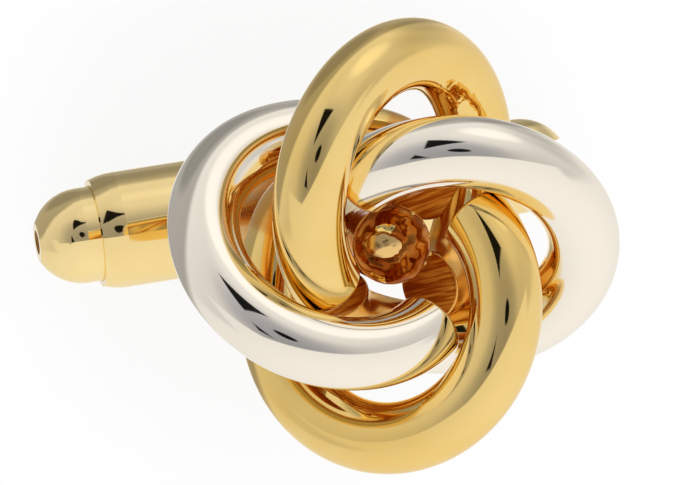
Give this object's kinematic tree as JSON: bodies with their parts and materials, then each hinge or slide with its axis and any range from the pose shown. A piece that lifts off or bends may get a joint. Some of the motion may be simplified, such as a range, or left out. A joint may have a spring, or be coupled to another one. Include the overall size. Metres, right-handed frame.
{
  "type": "cufflink",
  "caption": "Gold and silver love-knot cufflink of interlaced round-wire hooks on a slender post, with a torpedo swivel bar that folds in line to pass a buttonhole.",
  "frame": {"origin": "on the post's axis, midway between the back of the knot and the locked bar, where the cuff sits", "axes": "+Z along the post towards the knot's front, X along the locked bar, Y along the swivel pin"},
  "size_m": [0.0187, 0.0146, 0.0218],
  "materials": {
    "gold_plate": "polished gold plate",
    "silver_plate": "polished silver-coloured plate in front, gold plate behind",
    "gold_pin": "gold plate, dressed flush",
    "spring_steel": "bright spring"
  },
  "bodies": {
    "head": {"gold_hook_top": "gold_plate", "silver_hook_right": "silver_plate", "gold_hook_bottom": "gold_plate", "silver_hook_left": "silver_plate", "post": "gold_plate"},
    "toggle": {"toggle_sleeve": "gold_plate", "toggle_nose_left": "gold_plate", "toggle_nose_right": "gold_plate", "pivot_pin": "gold_pin", "detent_spring": "spring_steel"}
  },
  "joints": [
    {"name": "toggle_swivel", "type": "hinge", "parent": "head", "child": "toggle", "pos_m": [0, 0, -0.00692], "axis": [0, -1, 0], "range_deg": [0, 90], "deforming": ["detent_spring"]}
  ]
}
